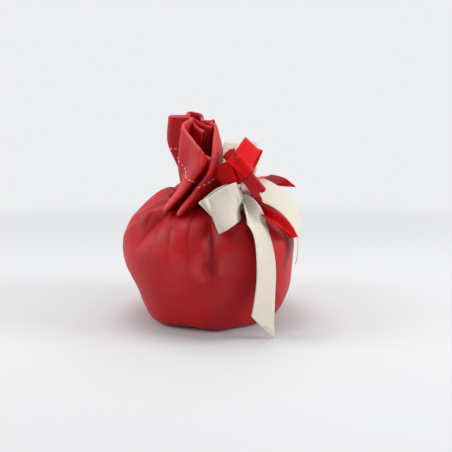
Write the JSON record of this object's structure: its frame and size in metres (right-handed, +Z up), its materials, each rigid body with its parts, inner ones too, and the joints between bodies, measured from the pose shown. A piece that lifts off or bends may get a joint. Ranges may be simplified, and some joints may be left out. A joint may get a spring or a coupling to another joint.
{
  "type": "gift sack",
  "caption": "Round-based leatherette gift sack, tied at the neck under a pleated ruffle, with a ribbed ribbon bow, a satin bow and a small scroll",
  "frame": {"origin": "Centre of the round base, on the surface that the sack stands on", "axes": "+Z up, +X to the right of the sack seen from its front, -Y towards the front, where the ruffle leans and the bow hangs"},
  "size_m": [0.1407, 0.1433, 0.1576],
  "materials": {
    "leatherette": "crimson leatherette, smooth with a fine grain, low sheen",
    "ribbed_ribbon": "cream grosgrain with fine cross ribs, matte",
    "satin_ribbon": "bright red satin, fine cross threads, soft gloss",
    "thread": "off-white sewing thread"
  },
  "bodies": {
    "sack": {"front_panel": "leatherette", "back_panel": "leatherette", "base_panel": "leatherette", "ribbed_wrap": "ribbed_ribbon", "ribbed_knot": "ribbed_ribbon", "satin_wrap": "satin_ribbon", "satin_knot": "satin_ribbon"},
    "ruffle": {"front_ruffle": "leatherette", "back_ruffle": "leatherette", "rim_hem": "leatherette", "hem_stitches": "thread", "seam_allowances": "leatherette"},
    "left_loop": {"ribbed_loop_left": "ribbed_ribbon"},
    "back_loop": {"ribbed_loop_back": "ribbed_ribbon"},
    "front_tail": {"ribbed_tail_front": "ribbed_ribbon"},
    "right_tail": {"ribbed_tail_right": "ribbed_ribbon"},
    "upper_satin_loop": {"satin_loop_upper": "satin_ribbon"},
    "lower_satin_loop": {"satin_loop_lower": "satin_ribbon"},
    "upper_satin_tail": {"satin_tail_upper": "satin_ribbon"},
    "lower_satin_tail": {"satin_tail_lower": "satin_ribbon"},
    "scroll": {"scroll_upper_roll": "leatherette", "scroll_lower_roll": "leatherette", "satin_band": "satin_ribbon"}
  },
  "joints": [
    {"name": "ruffle_lean", "type": "hinge", "parent": "sack", "child": "ruffle", "pos_m": [-0.002, -0.0022, 0.1053], "axis": [-1, 0, 0], "range_deg": [0, 14]},
    {"name": "left_loop_lift", "type": "hinge", "parent": "sack", "child": "left_loop", "pos_m": [0.024, -0.0465, 0.098], "axis": [-0.474, 0.2017, 0.8571], "range_deg": [0, 20]},
    {"name": "back_loop_tilt", "type": "hinge", "parent": "sack", "child": "back_loop", "pos_m": [0.024, -0.028, 0.105], "axis": [-1, 0, 0], "range_deg": [0, 18]},
    {"name": "front_tail_swing", "type": "hinge", "parent": "sack", "child": "front_tail", "pos_m": [0.029, -0.046, 0.094], "axis": [-0.8619, -0.507, 0], "range_deg": [0, 40]},
    {"name": "right_tail_swing", "type": "hinge", "parent": "sack", "child": "right_tail", "pos_m": [0.033, -0.036, 0.103], "axis": [0, -1, 0], "range_deg": [0, 20]},
    {"name": "upper_satin_loop_tilt", "type": "hinge", "parent": "sack", "child": "upper_satin_loop", "pos_m": [0.025, -0.037, 0.118], "axis": [-0.7493, 0.1299, 0.6494], "range_deg": [0, 18]},
    {"name": "lower_satin_loop_tilt", "type": "hinge", "parent": "sack", "child": "lower_satin_loop", "pos_m": [0.018, -0.041, 0.113], "axis": [-0.479, 0.2129, 0.8516], "range_deg": [0, 14]},
    {"name": "upper_satin_tail_swing", "type": "hinge", "parent": "sack", "child": "upper_satin_tail", "pos_m": [0.0355, -0.0265, 0.111], "axis": [0.7557, -0.6549, 0], "range_deg": [0, 15]},
    {"name": "lower_satin_tail_swing", "type": "hinge", "parent": "sack", "child": "lower_satin_tail", "pos_m": [0.036, -0.045, 0.089], "axis": [0, -1, 0], "range_deg": [-10, 8]},
    {"name": "scroll_turn", "type": "hinge", "parent": "sack", "child": "scroll", "pos_m": [0.0265, -0.05, 0.114], "axis": [0.3015, -0.9045, 0.3015], "range_deg": [-8, 8]}
  ]
}
